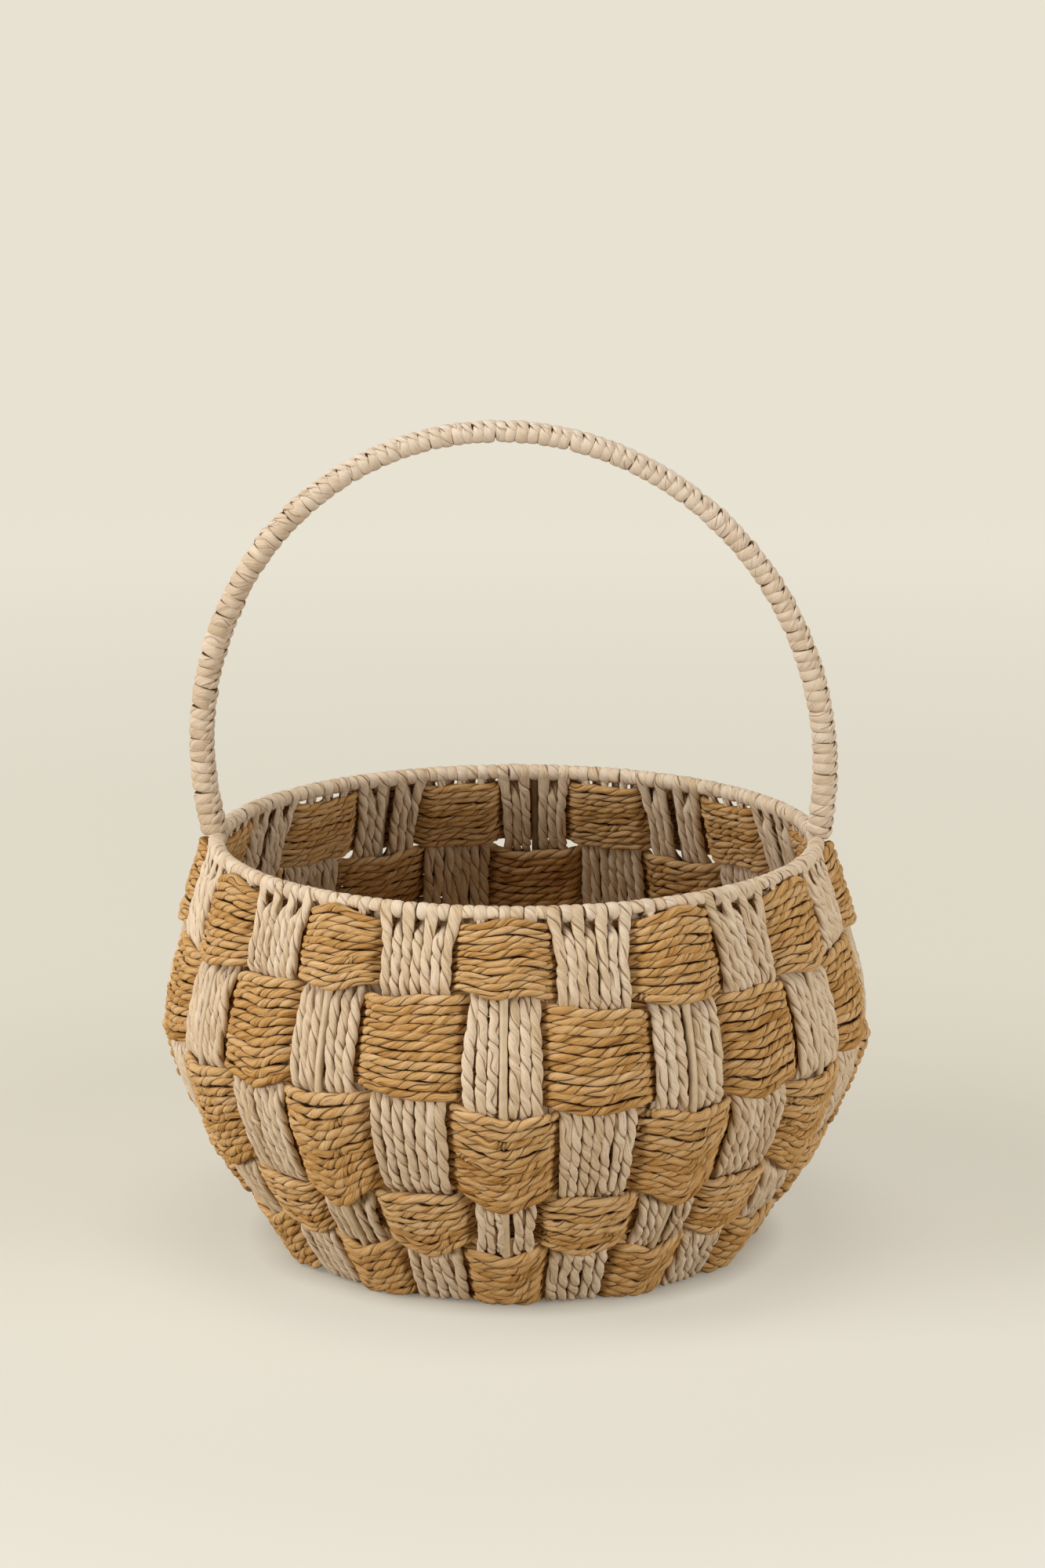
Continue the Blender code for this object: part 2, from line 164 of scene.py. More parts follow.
# A column's foot, which comes down outside or inside the lowest row and turns in under the base
# hoop: how far out from the hoop, in reaches, and the height as a share of the lowest
outside_foot = ((2.0, 1.2), (1.2, 1.0))
inside_foot = ((1.0, 1.3),)
turned_foot = ((0.0, 1.0), (-0.8, 1.2))

# Wrapping of the rim. Tilts are in degrees, and a spread says how much the turns differ.
WRAP_DEPTH = 0.35
RIM_WRAP_ROUND = 0.0021
RIM_WRAP_WIDTH = 0.0048
RIM_WRAP_THICK = 0.0020
RIM_WRAP_STEP = 0.0006
# How much darker each turn of the rim's wrapping is made
RIM_WRAP_DARKENING = 0.3
RIM_WRAP_TILT = 3
RIM_TILT_SPREAD = 8
RIM_PLACE_SPREAD = 0.07
RIM_ROUND_SPREAD = 0.03
RIM_WIDTH_SPREAD = 0.07

# Wrapping of the handle
HANDLE_ROUND = 0.1170
HANDLE_PITCH = 0.0038
HANDLE_PITCH_SPREAD = 0.10
HANDLE_WRAP_ROUND = 0.0031
HANDLE_WRAP_THICK = 0.0018
HANDLE_WRAP_DEPTH = 0.20
HANDLE_WRAP_STEP = 0.0005
HANDLE_WRAP_PRESS = 1.14
HANDLE_WRAP_TILT = 5
HANDLE_TILT_SPREAD = 6
HANDLE_ROUND_SPREAD = 0.020
# How far the handle leans towards -X, as a share of the height above the rim
HANDLE_LEAN = 0.037
# Along the arch, by turns from its top: angles of the ridge of knots, from outward to the front
# and on round by the back, radii of the wrapping as shares of its radius at the top, and how much
# darker its turns are made: painted shade down the legs, most on the left, and painted light near
# the top, where the values are below 0
handle_turns = np.radians((-105, -92, -65, -46, -20, 0, 30, 60, 105))
knot_angles = np.radians((136, 142, 165, 384, 398, 400, 412, 392, 382))
girth_shares = (1.32, 1.20, 1.13, 1.06, 1.0, 1.0, 1.02, 1.08, 1.16)
handle_painted_shades = (0.8, 0.8, 0.7, 0.3, -0.4, -0.7, -0.6, 0.1, 0.2)

# A knot of the handle: a short cord across a turn, which rises in the middle and reaches this
# many degrees to either side
KNOT_WIDTH = 0.0027
KNOT_THICK = 0.0017
KNOT_RISE = 0.0007
KNOT_SINK = 0.0006
KNOT_REACH = 40
KNOT_SLANT = 0.55
KNOT_SHADE = 1.05
KNOT_SHADE_POWER = 3
KNOT_ANGLE_SPREAD = 0.10
KNOT_WIDTH_SPREAD = 0.08
# Shares of its width: all along it, and added in the middle
knot_width_shares = (0.55, 0.45)

# Base
BASE_STEP = 0.0013
base_wave_lengths = (0.03, 0.07)
# A base band's half width and bend, as shares of the bands' pitch
BASE_HALF = 0.42
BASE_CROSSING = 0.17

# Colours as read off a screen, of the paper: the painted shade of its creases and pressed flanks,
# then its darker, plain and lighter tones; and of paint
tan_colours = ((50, 14, 0), (143, 93, 30), (197, 153, 93), (220, 186, 140))
cream_colours = ((112, 72, 30), (191, 164, 126), (220, 199, 170), (229, 212, 189))
wrapping_colours = ((112, 82, 50), (200, 178, 150), (222, 203, 180), (231, 216, 197))
paint_colours = ((196, 174, 142), (208, 187, 156))

# Paper
paper_ramp = (0.36, 0.55, 0.76)
PATTERN_SHARE = 0.5
# How much a cord's tone_and_painted_shade moves its colour
TONE_AND_SHADE_SHARE = 0.16
BREAK_GAIN = 4.0
FOLD_MIDDLE = 0.5
FOLD_GAIN = 11.0
FOLD_FLOOR = 0.12
CRUMPLE_SHARE = 0.9
PAPER_BUMP = 0.7
PAPER_RELIEF = 0.00038
PAPER_ROUGHNESS = 0.72
PAPER_ROUGHNESS_SPREAD = 0.08
PAPER_GLOSS = 0.15
# Noises of the paper: waves for each metre of cord and across the plies, and levels of detail
paper_noises = {
    "wrinkles": ((150, 4.5, 4.5), 3),
    "folds": ((75, 3.2, 3.2), 2),
    "patches": ((45, 0.8, 0.8), 2),
    "breaks": ((120, 1.2, 1.2), 2),
    "ridges": ((110, 4, 4), 2),
    "crumples": ((320, 1.8, 1.8), 2),
}

# Paint
paint_ramp = (0.35, 0.65)
PAINT_SPOTS = 260
PAINT_DETAIL = 3
PAINT_BUMP = 0.3
PAINT_RELIEF = 0.0001
PAINT_ROUGHNESS = 0.48

# Camera
CAMERA_AZIMUTH = math.radians(1.524)
CAMERA_ELEVATION = math.radians(15.885)
CAMERA_DISTANCE = 1.7346
CAMERA_TARGET_HEIGHT = 0.0795
CAMERA_YAW = math.radians(-0.078)
CAMERA_PITCH = math.radians(-2.804)
CAMERA_LENS = 109.99
CAMERA_SENSOR = 36.0

# Studio
BACKDROP = (232, 226, 210)
WORLD_LIGHT = (1.0, 0.84, 0.62, 1.0)
WORLD_STRENGTH = 0.14
FLOOR_COLOUR = (207, 202, 188)
FLOOR_BOUNCE = (152, 136, 108)
FLOOR_ROUGHNESS = 0.9
FLOOR_GLOSS = 0.1
FLOOR_RADIUS = 14.0
FLOOR_FADE_END = 1.40
# How far the floor's glow, which is painted light, replaces its shaded colour, by the distance from
# the middle
floor_fades = ((0.078, 0.08), (0.099, 0.52), (0.25, 0.50), (0.40, 0.64), (1.40, 1.0))
# The glow's colour from the front of the floor to the back, by shares of a range of depths. It is
# painted light: brightest on the floor just in front of the basket, and dimmer towards the back
floor_glow_depths = (-0.80, 1.60)
floor_glows = (
    (0.0, (236, 230, 214)),
    (0.167, (255, 251, 238)),
    (0.288, (255, 250, 236)),
    (0.333, (246, 240, 224)),
    (0.417, (243, 237, 220)),
    (0.625, (236, 230, 214)),
    (1.0, (232, 226, 210)),
)
# Square lights: azimuth, elevation, size, and the level that they add in the middle of the scene
LAMP_DISTANCE = 2.2
LAMP_COLOUR = (1.0, 0.985, 0.955)
lamps = {
    "softbox_left": (-58, 8, 0.9, 0.73),
    "softbox_right": (56, 8, 0.9, 0.65),
    "softbox_high": (-70, 47, 0.9, 0.32),
    "softbox_top": (0, 87, 1.2, 0.36),
}

rng = np.random.default_rng(11)

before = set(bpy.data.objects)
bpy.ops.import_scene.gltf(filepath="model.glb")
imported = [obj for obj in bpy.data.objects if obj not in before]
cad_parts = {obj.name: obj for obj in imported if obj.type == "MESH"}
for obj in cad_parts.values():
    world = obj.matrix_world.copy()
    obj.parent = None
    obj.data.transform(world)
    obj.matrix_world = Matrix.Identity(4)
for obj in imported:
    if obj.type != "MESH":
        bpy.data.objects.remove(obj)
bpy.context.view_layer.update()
rim_low, rim_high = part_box("rim_hoop")
base_low, base_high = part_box("base_hoop")
rod_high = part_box("handle_rod")[1]

RIM_HEIGHT = (rim_low.z + rim_high.z) / 2
RIM_RADIUS = rim_high.x - HOOP_WIRE / 2
BASE_HOOP_HEIGHT = (base_low.z + base_high.z) / 2
BASE_HOOP_RADIUS = base_high.x - HOOP_WIRE / 2
HANDLE_RISE = rod_high.z - HANDLE_ROD / 2 - HANDLE_ROUND - RIM_HEIGHT
HANDLE_WIDEST = RIM_RADIUS / math.sqrt(1 - (HANDLE_RISE / HANDLE_ROUND) ** 2)
COLUMN_ANGLE = TURN / COLUMNS
ROWS = len(ROW_CORDS)


# Wall and paths


def wall_curve():
    """Columns of height, radius, lean and climb, from just below the floor to above the rim."""
    heights = np.array(wall_height_shares) * RIM_HEIGHT
    radii = np.array((*(share * BELLY_RADIUS for share in wall_radius_shares), RIM_RADIUS))
    chords = np.diff(radii) / np.diff(heights)
    inner = (radii[2:] - radii[:-2]) / (heights[2:] - heights[:-2])
    slopes = np.concatenate([chords[:1], inner, chords[-1:]])
    height = np.arange(-WALL_OVERRUN, RIM_HEIGHT + WALL_OVERRUN, CURVE_STEP)
    row = np.clip(np.searchsorted(heights, height, side="right") - 1, 0, len(heights) - 2)
    span = heights[row + 1] - heights[row]
    t = np.clip((height - heights[row]) / span, 0, 1)
    leave, arrive = slopes[row] * span, slopes[row + 1] * span
    a = 2 * radii[row] - 2 * radii[row + 1] + leave + arrive
    b = 3 * radii[row + 1] - 3 * radii[row] - 2 * leave - arrive
    lean = (3 * a * t**2 + 2 * b * t + leave) / span
    beyond = height - np.clip(height, heights[0], heights[-1])
    radius = a * t**3 + b * t**2 + leave * t + radii[row] + beyond * lean
    steps = np.hypot(np.gradient(height), np.gradient(radius))
    climb = np.cumsum(steps)
    return height, radius, lean, climb - np.interp(0, height, climb)


WALL_HEIGHT, WALL_RADIUS, WALL_LEAN, WALL_CLIMB = wall_curve()
RIM_CLIMB = float(np.interp(RIM_HEIGHT, WALL_HEIGHT, WALL_CLIMB))
row_edges = np.interp(np.array(wall_height_shares) * RIM_HEIGHT, WALL_HEIGHT, WALL_CLIMB)
row_edges = row_edges + np.array(row_edge_lifts)


def wall_place(climb, offset):
    """Radius and height of a place on the wall."""
    height = np.interp(climb, WALL_CLIMB, WALL_HEIGHT)
    radius = np.interp(climb, WALL_CLIMB, WALL_RADIUS)
    lean = np.interp(climb, WALL_CLIMB, WALL_LEAN)
    length = np.hypot(1, lean)
    return radius + offset / length, height - offset * lean / length


def wall_outward(climb):
    """Parts of the wall's outward direction: away from the axis, and up."""
    lean = np.interp(climb, WALL_CLIMB, WALL_LEAN)
    length = np.hypot(1, lean)
    return 1 / length, -lean / length


def around(radius, angle, height):
    """Points, or directions, at an angle from the front."""
    return np.stack(np.broadcast_arrays(radius * np.sin(angle), -radius * np.cos(angle), height), -1)


def settled(angle):
    """The angle on the wall that an angle among evenly spaced columns has slid to."""
    columns = np.arange(COLUMNS) * COLUMN_ANGLE
    return angle + np.interp(angle, columns, np.radians(column_drifts), period=TURN)


def unit(vectors):
    return vectors / np.linalg.norm(vectors, axis=-1, keepdims=True)


def path_length(path):
    """The distance along a path from its start to each of its points."""
    steps = np.linalg.norm(np.diff(path, axis=0), axis=1)
    return np.concatenate([[0], np.cumsum(steps)])


def resampled(path, step):
    """The same path with points about a step apart."""
    length = path_length(path)
    places = np.linspace(0, length[-1], round(length[-1] / step) + 1)
    return np.stack([np.interp(places, length, part) for part in path.T], -1)


def softened(path, reach):
    """The path with its corners rounded over a length."""
    fine = resampled(path, SOFTEN_STEP)
    half = max(1, round(reach / (2 * SOFTEN_STEP)))
    weights = np.hanning(2 * half + 3)[1:-1]
    weights /= weights.sum()
    padded = np.vstack([
        2 * fine[0] - fine[half:0:-1],
        fine,
        2 * fine[-1] - fine[-2:-half - 2:-1],
    ])
    return np.stack([np.convolve(part, weights, "valid") for part in padded.T], -1)


def wander(places, wavelengths, size):
    """A smooth irregular wave along a cord."""
    total = np.zeros_like(places)
    for wavelength in wavelengths:
        total += rng.normal() * np.sin(TURN * places / wavelength + rng.uniform(0, TURN))
    return size * total


# Cords


def ring_frames(path, outward, closed):
    """For each ring round a path, the directions outward and across."""
    if closed:
        ahead, behind = np.roll(path, -1, 0), np.roll(path, 1, 0)
    else:
        ahead = np.vstack([path[1:], path[-1:]])
        behind = np.vstack([path[:1], path[:-1]])
    along = unit(ahead - behind)
    normal = unit(outward - (outward * along).sum(-1, keepdims=True) * along)
    return normal, np.cross(along, normal)


class Bundle:
    """Cords that are built as one mesh, and how each of its points lies on its cord.

    A point's fibre is its place along the cord and round the section. Its flank says how far to
    the side of the cord it lies, where neighbours press, and how much painted shade the paper puts
    there, with any shade given. Its tone_and_painted_shade says how light its cord is: a lightness
    that differs at random, less the cord's darkening, which on the handle is painted shade and light.
    """

    def __init__(self, name):
        self.name = name
        self.points, self.quads, self.caps = [], [], []
        self.fibres, self.flanks, self.tones_and_painted_shades = [], [], []
        self.count = 0

    def add(
        self, path, outward, width, thick, ply_pitch,
        closed=False, depth=1.0, shade=0.0, darkening=0.0, free=0,
    ):
        """A cord of two plies with an S twist. Its width lies across the outward direction.

        The depth is that of the groove between the plies, and a darkening makes the whole cord
        darker.
        Its flanks get painted shade where its neighbours press, except on a free side (-1 or 1).
        A shade puts painted shade on the points that it is given for.
        """
        normal, across = ring_frames(path, outward, closed)
        length = path_length(path)
        total = length[-1]
        if closed:
            total += np.linalg.norm(path[0] - path[-1])
        turns = total / ply_pitch * rng.uniform(*ply_pitch_range)
        if closed:
            turns = max(1, round(turns))
        waves = tuple(total / max(1, round(rate * total / SWELL_LENGTH)) for rate in swell_rates)
        twist = rng.uniform(0, TURN) - TURN * turns * length / total
        twist = twist + wander(length, waves, PLY_WANDER / 2)
        swell = 1 + wander(length, waves, CORD_SWELL / 2)[:, None]
        depth = np.broadcast_to(depth, len(path))[:, None]
        radii = 1 + (section_radii - 1) * depth
        angle = section_angles + twist[:, None]
        half_width = np.broadcast_to(np.asarray(width) / 2, len(path))[:, None] * swell
        half_thick = np.broadcast_to(np.asarray(thick) / 2, len(path))[:, None] * swell
        out = (half_thick * radii * np.cos(angle))[..., None]
        side = (half_width * radii * np.sin(angle))[..., None]
        points = path[:, None] + out * normal[:, None] + side * across[:, None]
        start = rng.uniform(0, FIBRE_SHIFT)
        # The flank, and any shade, become painted shade in the paper's colour
        flank = radii * np.sin(angle)
        flank = np.where(flank * free > 0, 0.0, np.abs(flank))
        self.join(points, length + start, section_angles, np.maximum(flank, shade), closed, darkening)

    def add_wire(self, path, outward, diameter, closed=False):
        """A plain round wire."""
        normal, across = ring_frames(path, outward, closed)
        angle = np.arange(WIRE_SIDES) * TURN / WIRE_SIDES
        out = (diameter / 2 * np.cos(angle))[None, :, None]
        side = (diameter / 2 * np.sin(angle))[None, :, None]
        points = path[:, None] + out * normal[:, None] + side * across[:, None]
        self.join(points, path_length(path), angle, np.zeros(points.shape[:2]), closed, 0.0)

    def join(self, points, length, angle, flank, closed, darkening):
        """Join rings of points into a skin, and cap its ends if it has any."""
        rings, sides = points.shape[:2]
        index = np.arange(rings * sides).reshape(rings, sides) + self.count
        here, there = (index, np.roll(index, -1, 0)) if closed else (index[:-1], index[1:])
        corners = (here, np.roll(here, -1, 1), np.roll(there, -1, 1), there)
        self.quads.append(np.stack(corners, -1).reshape(-1, 4))
        if not closed:
            self.caps.append(index[0][::-1])
            self.caps.append(index[-1])
        fibre = np.empty_like(points)
        fibre[..., 0] = length[:, None]
        fibre[..., 1] = np.cos(angle)
        fibre[..., 2] = np.sin(angle)
        self.points.append(points.reshape(-1, 3))
        self.fibres.append(fibre.reshape(-1, 3))
        self.flanks.append(flank.reshape(-1))
        # A random lightness of the cord, less the darkening, which on the handle is painted shade and
        # light
        self.tones_and_painted_shades.append(np.full(rings * sides, rng.uniform() - darkening))
        self.count += rings * sides

    def build(self, finish, slot, *nodes):
        """Make the object, which rides on the root body and stands for CAD nodes."""
        mesh = bpy.data.meshes.new(self.name)
        mesh.vertices.add(self.count)
        mesh.vertices.foreach_set("co", np.concatenate(self.points).astype(np.float32).ravel())
        quads = np.concatenate(self.quads)
        corners, starts = quads.ravel(), np.arange(len(quads)) * 4
        if self.caps:
            caps = np.stack(self.caps)
            starts = np.concatenate([starts, len(corners) + np.arange(len(caps)) * caps.shape[1]])
            corners = np.concatenate([corners, caps.ravel()])
        mesh.loops.add(len(corners))
        mesh.loops.foreach_set("vertex_index", corners.astype(np.int32))
        mesh.polygons.add(len(starts))
        mesh.polygons.foreach_set("loop_start", starts.astype(np.int32))
        for name, kind, field, parts in (
            ("fibre", "FLOAT_VECTOR", "vector", self.fibres),
            ("tone_and_painted_shade", "FLOAT", "value", self.tones_and_painted_shades),
            ("flank", "FLOAT", "value", self.flanks),
        ):
            values = np.concatenate(parts).astype(np.float32).ravel()
            mesh.attributes.new(name, kind, "POINT").data.foreach_set(field, values)
        mesh.update(calc_edges=True)
        mesh.shade_smooth()
        mesh.materials.append(finish)
        thing = bpy.data.objects.new(self.name, mesh)
        bpy.context.scene.collection.objects.link(thing)
        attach(thing, "root")
        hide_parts(*nodes)


# Tan rows


def passes_outside(column, row):
    """True where the tan row passes outside the column. Even columns hold a wire."""
    return (column + row) % 2 == 0


def edge_climb(edge, angle):
    """Climb of the edge between two rows, between their cells, at each angle."""
    drifts = row_edge_drifts.get(edge, {})
    columns = np.arange(COLUMNS)
    at_columns = np.array([drifts.get(int(column), 0.0) for column in columns])
    drift = np.interp(angle, columns * COLUMN_ANGLE, at_columns, period=TURN)
    return row_edges[edge] + drift


def column_edges(column):
    """Climbs at which a column crosses from one row to the next."""
    edges = [row_edges[0]]
    for edge in range(1, ROWS):
        outside = passes_outside(column, edge)
        bow = row_bottom_bows[edge] if outside else row_top_bows[edge - 1]
        edges.append(float(edge_climb(edge, column * COLUMN_ANGLE)) + bow)
    return np.array([*edges, row_edges[ROWS]])


def row_span(row, angle):
    """Climbs of the row's lowest cord and of its highest one at each angle."""
    low = edge_climb(row, angle) + (ROW_SPREAD / 2 if row else WEFT_FOOT)
    high = edge_climb(row + 1, angle) - ROW_SPREAD / 2
    if row == ROWS - 1:
        high = np.full_like(angle, RIM_CLIMB - TOP_ROW_GAP)
    return low, high


def weft(row, finish):
    """One tan row: rings of cord that pass outside and inside the columns by turns.

    The rings start inside a column, where their seam doesn't show from the front.
    """
    bundle = Bundle(f"weft_{ROWS - row}_cords")
    count = ROW_CORDS[row]
    radius = wall_place((row_edges[row] + row_edges[row + 1]) / 2, 0)[0]
    points = round(TURN * radius / WEFT_STEP)
    seam = next(column for column in (0, 1) if not passes_outside(column, row))
    angle = np.arange(points) * TURN / points + seam * COLUMN_ANGLE
    low, high = row_span(row, angle)
    place = angle / COLUMN_ANGLE
    column = np.round(place).astype(int)
    from_middle = place - column
    outside = passes_outside(column, row)
    side = np.where(outside, 1, -1)
    bend = np.clip((0.5 - np.abs(from_middle)) / WEFT_CROSSING, 0, 1)
    swell = np.cos(math.pi * from_middle) ** 2
    crown = np.where(column % 2, PLAIN_CROWN, WIRE_CROWN)
    tilts = rng.normal(size=COLUMNS) * WEFT_TILT
    tilt = tilts[column % COLUMNS] * np.sin(TURN * from_middle) * outside
    waves = tuple(TURN / n for n in weft_wave_counts)
    row_wave = wander(angle, waves, ROW_WANDER)
    spread_wave = wander(angle, waves, ROW_WANDER)
    low = low + row_bottom_bows[row] * swell * outside
    high = high + row_top_bows[row] * swell * outside
    width = (high - low) / (count - 1) * weft_presses[row]
    for i in range(count):
        share = i / (count - 1)
        climb = low + (high - low) * share + tilt + row_wave * (1 - share) + spread_wave * share
        if row == 0:
            climb = climb + INNER_FOOT_RISE * (1 - share) * swell * ~outside
        climb = climb + wander(angle, waves, WEFT_WANDER)
        offset = side * (WEFT_LIFT * np.sin(math.pi / 2 * bend) + crown * swell)
        offset = offset + wander(angle, waves, WEFT_RIPPLE)
        ring_radius, height = wall_place(climb, offset)
        path = around(ring_radius, settled(angle), np.maximum(height, WEFT_FOOT))
        away, up = wall_outward(climb)
        outward = around(away, settled(angle), up)
        free = int(i == 0) - int(i == count - 1)
        bundle.add(path, outward, width, WEFT_THICK, TAN_PLY_PITCH, closed=True, free=free)
    bundle.build(finish, "tan_paper_cord", f"weft_{ROWS - row}")


# Upright columns


def column_side(column, row):
    """1 where the column passes outside the row, and -1 where it passes inside."""
    return -1 if passes_outside(column, row) else 1


def warp_offsets(column, climb):
    """Offset of the middle of a column's cords at each climb."""
    edges = column_edges(column)
    row = np.clip(np.searchsorted(edges, climb, side="right") - 1, 0, ROWS - 1)
    low, high = edges[row], edges[row + 1]
    below = np.where(row == 0, WARP_CROSSING, climb - low)
    above = np.where(row == ROWS - 1, WARP_CROSSING, high - climb)
    bend = np.clip(np.minimum(below, above) / WARP_CROSSING, 0, 1)
    bulge = np.sin(math.pi * np.clip((climb - low) / (high - low), 0, 1))
    side = np.where(passes_outside(column, row), -1, 1)
    return side * (WARP_LIFT * np.sin(math.pi / 2 * bend) + WARP_BULGE * bulge)


def slot_shares(row, column, slot):
    """A slot's place across its column, its width there, and whether it is crowded in."""
    half = column_half_shares[row]
    hidden = [s for s in crowded_slots.get(row, ()) if column_side(column, row) > 0]
    shown = [s for s in range(SLOTS) if s not in hidden]
    places = {s: half * ((2 * i + 1) / len(shown) - 1) for i, s in enumerate(shown)}
    for s in hidden:
        places[s] = (places[s - 1] + places[s + 1]) / 2
    return places[slot], 2 * half / len(shown), slot in hidden


def rim_start(side, over):
    """Offsets and climbs of a column's cord at the rim, to where it joins the wall."""
    if over:
        turn = np.radians(np.arange(OVER_TURN, -1, -OVER_TURN_STEP))
        offset = RIM_WRAP_ROUND * np.cos(turn)
        climb = RIM_CLIMB + RIM_WRAP_ROUND * np.sin(turn)
        return side * offset, climb
    offset = np.array(under_offset_shares) * RIM_WRAP_ROUND
    climb = RIM_CLIMB - np.array(under_climb_shares) * RIM_WRAP_ROUND
    return side * offset, climb


def foot_points(side):
    """Radii and heights of a column's foot, which turns in under the wall round the base hoop."""
    reach = (HOOP_WIRE + CORD) / 2
    shares = (outside_foot if side > 0 else inside_foot) + turned_foot
    points = [(BASE_HOOP_RADIUS + out * reach, rise * LOWEST_MIDDLE) for out, rise in shares]
    return np.array([*points, (BASE_HOOP_RADIUS - reach, BASE_HOOP_HEIGHT)])


def warp_path(column, slot, over):
    """Radius, height, place across the column and width, from the rim down to the base hoop."""
    side = column_side(column, ROWS - 1)
    join = OVER_JOIN if over else UNDER_JOIN
    climb = np.arange(RIM_CLIMB - join * RIM_WRAP_ROUND, CORD, -PATH_STEP)
    offset = warp_offsets(column, climb)
    edges = column_edges(column)
    shares, widths, pushes, places = [], [], [], []
    for row in range(ROWS):
        share, width, hidden = slot_shares(row, column, slot)
        shares.append(share)
        widths.append(width)
        pushes.append(-WARP_PUSH * column_side(column, row) if hidden else 0.0)
        places.append((edges[row] + edges[row + 1]) / 2)
    shares.append((slot - WIRE_SLOT) / RIM_WRAPS_PER_COLUMN)
    widths.append(1 / RIM_WRAPS_PER_COLUMN)
    pushes.append(0.0)
    places.append(RIM_CLIMB)
    offset = offset + np.interp(climb, places, pushes)
    top_offset, top_climb = rim_start(side, over)
    offset = np.concatenate([top_offset, offset])
    climb = np.concatenate([top_climb, climb])
    radius, height = wall_place(climb, offset)
    across = np.interp(climb, places, shares) * COLUMN_ANGLE * radius
    width = np.interp(climb, places, widths) * COLUMN_ANGLE * radius
    foot = foot_points(column_side(column, 0))
    narrowing = BASE_HOOP_RADIUS / radius[-1]
    foot = np.column_stack([
        foot,
        np.full(len(foot), across[-1] * narrowing),
        np.full(len(foot), width[-1] * narrowing),
    ])
    path = np.vstack([np.column_stack([radius, height, across, width]), foot])
    return softened(path, PATH_SOFTENING)


def warp(column, finish):
    """One upright column of cream cords. Every second cord comes over the rim."""
    name = f"warp_{column + 1:02d}"
    bundle = Bundle(f"{name}_cords")
    for slot in range(SLOTS):
        if slot == WIRE_SLOT and column % 2 == 0:
            continue
        over = slot in OVER_SLOTS
        path = resampled(warp_path(column, slot, over), WARP_STEP)
        length = path_length(path)
        radius, height, across, width = path.T
        width = width * WARP_PRESS
        wall_part = np.clip((length - WANDER_START) / WANDER_CHANGE, 0, 1)
        across = across + wander(length, warp_wave_lengths, WARP_WANDER) * wall_part
        angle = settled(column * COLUMN_ANGLE + across / radius)
        slope = np.gradient(np.column_stack([radius, height]), axis=0)
        outward = around(-slope[:, 1], angle, slope[:, 0])
        points = around(radius, angle, height)
        if over:
            on_rim = np.clip(1 - (length - FLAT_END) / FLAT_CHANGE, 0, 1)
            width = width + (RIM_WRAP_WIDTH - width) * on_rim
            thick = CORD + (RIM_WRAP_THICK - CORD) * on_rim
        else:
            on_rim = 0.0
            tucked = np.clip(1 - length / TUCK_END, 0, 1)
            width = width * (1 - TUCK_SHRINK * tucked)
            thick = CORD * (1 - TUCK_SHRINK * tucked)
        depth = WARP_DEPTH + (WRAP_DEPTH - WARP_DEPTH) * on_rim
        free = int(slot == 0) - int(slot == SLOTS - 1)
        bundle.add(points, outward, width, thick, CREAM_PLY_PITCH, depth=depth, free=free)
    bundle.build(finish, "cream_paper_cord", name)


# Wires


def rib(index, finish):
    """A wire from under the rim hoop down the wall to the base hoop."""
    name = f"rib_{index + 1:02d}"
    climb = np.arange(RIM_CLIMB - HOOP_WIRE / 2, RIB_END, -PATH_STEP)
    radius, height = wall_place(climb, RIB_OFFSET)
    foot = [(BASE_HOOP_RADIUS + HOOP_WIRE / 2, BASE_HOOP_HEIGHT)]
    path = softened(np.vstack([np.column_stack([radius, height]), foot]), 2 * RIB_WIRE)
    path = resampled(path, WARP_STEP)
    slope = np.gradient(path, axis=0)
    angle = settled(2 * index * COLUMN_ANGLE)
    outward = around(-slope[:, 1], angle, slope[:, 0])
    bundle = Bundle(f"{name}_wire")
    bundle.add_wire(around(path[:, 0], angle, path[:, 1]), outward, RIB_WIRE)
    bundle.build(finish, "painted_wire", name)


def hoop(name, radius, height, finish):
    """A level ring of wire."""
    angle = np.arange(HOOP_POINTS) * TURN / HOOP_POINTS
    bundle = Bundle(f"{name}_wire")
    bundle.add_wire(around(radius, angle, height), around(1, angle, 0), HOOP_WIRE, closed=True)
    bundle.build(finish, "painted_wire", name)


# Rim


def loop_round(centre, out, up, along, round_radius, tilt, step, start):
    """A closed turn of cord round a wire, with its plane tilted along the wire."""
    count = round(TURN * round_radius / step)
    turn = np.arange(count)[:, None] * TURN / count + start
    outward = out * np.cos(turn) + up * np.sin(turn)
    drift = along * np.cos(turn) * math.tan(tilt) * round_radius
    return centre + outward * round_radius + drift, outward


